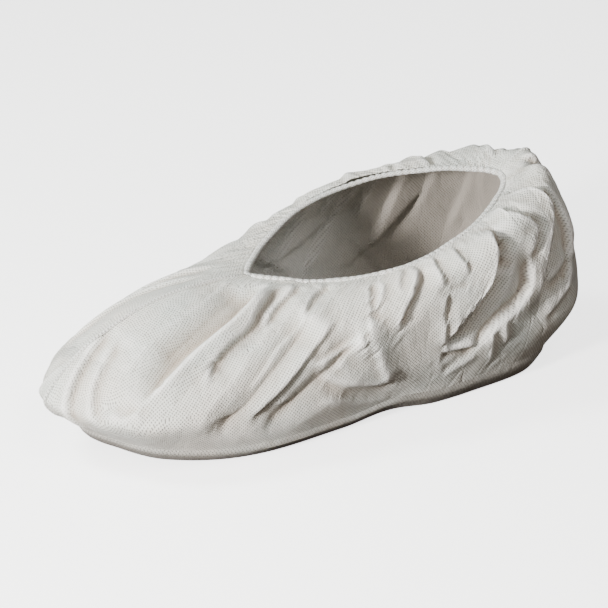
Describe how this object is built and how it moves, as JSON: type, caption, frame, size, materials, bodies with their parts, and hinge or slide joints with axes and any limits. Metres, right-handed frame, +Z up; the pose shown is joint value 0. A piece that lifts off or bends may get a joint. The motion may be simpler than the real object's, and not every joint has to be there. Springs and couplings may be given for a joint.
{
  "type": "disposable shoe cover",
  "caption": "Loose nonwoven overshoe with a gathered elastic collar, a rounded heel, a pointed roomy toe and a flat separate sole panel, worn over a shoe to keep a floor clean.",
  "frame": {"origin": "on the floor under the middle of the flat heel seat", "axes": "+X towards the toe, +Y towards the left side as worn, +Z up from the floor"},
  "size_m": [0.3457, 0.1501, 0.1161],
  "materials": {
    "upper_cloth": "off-white film-coated nonwoven, crisp and slightly crumpled",
    "sole_cloth": "off-white heavier coated nonwoven",
    "collar_edging": "off-white gathered nonwoven edging over elastic",
    "seam_cloth": "off-white welded seam"
  },
  "bodies": {
    "root": {"upper": "upper_cloth", "sole": "sole_cloth", "collar_elastic": "collar_edging", "vamp_seam": "seam_cloth", "heel_seam": "seam_cloth"}
  },
  "joints": []
}
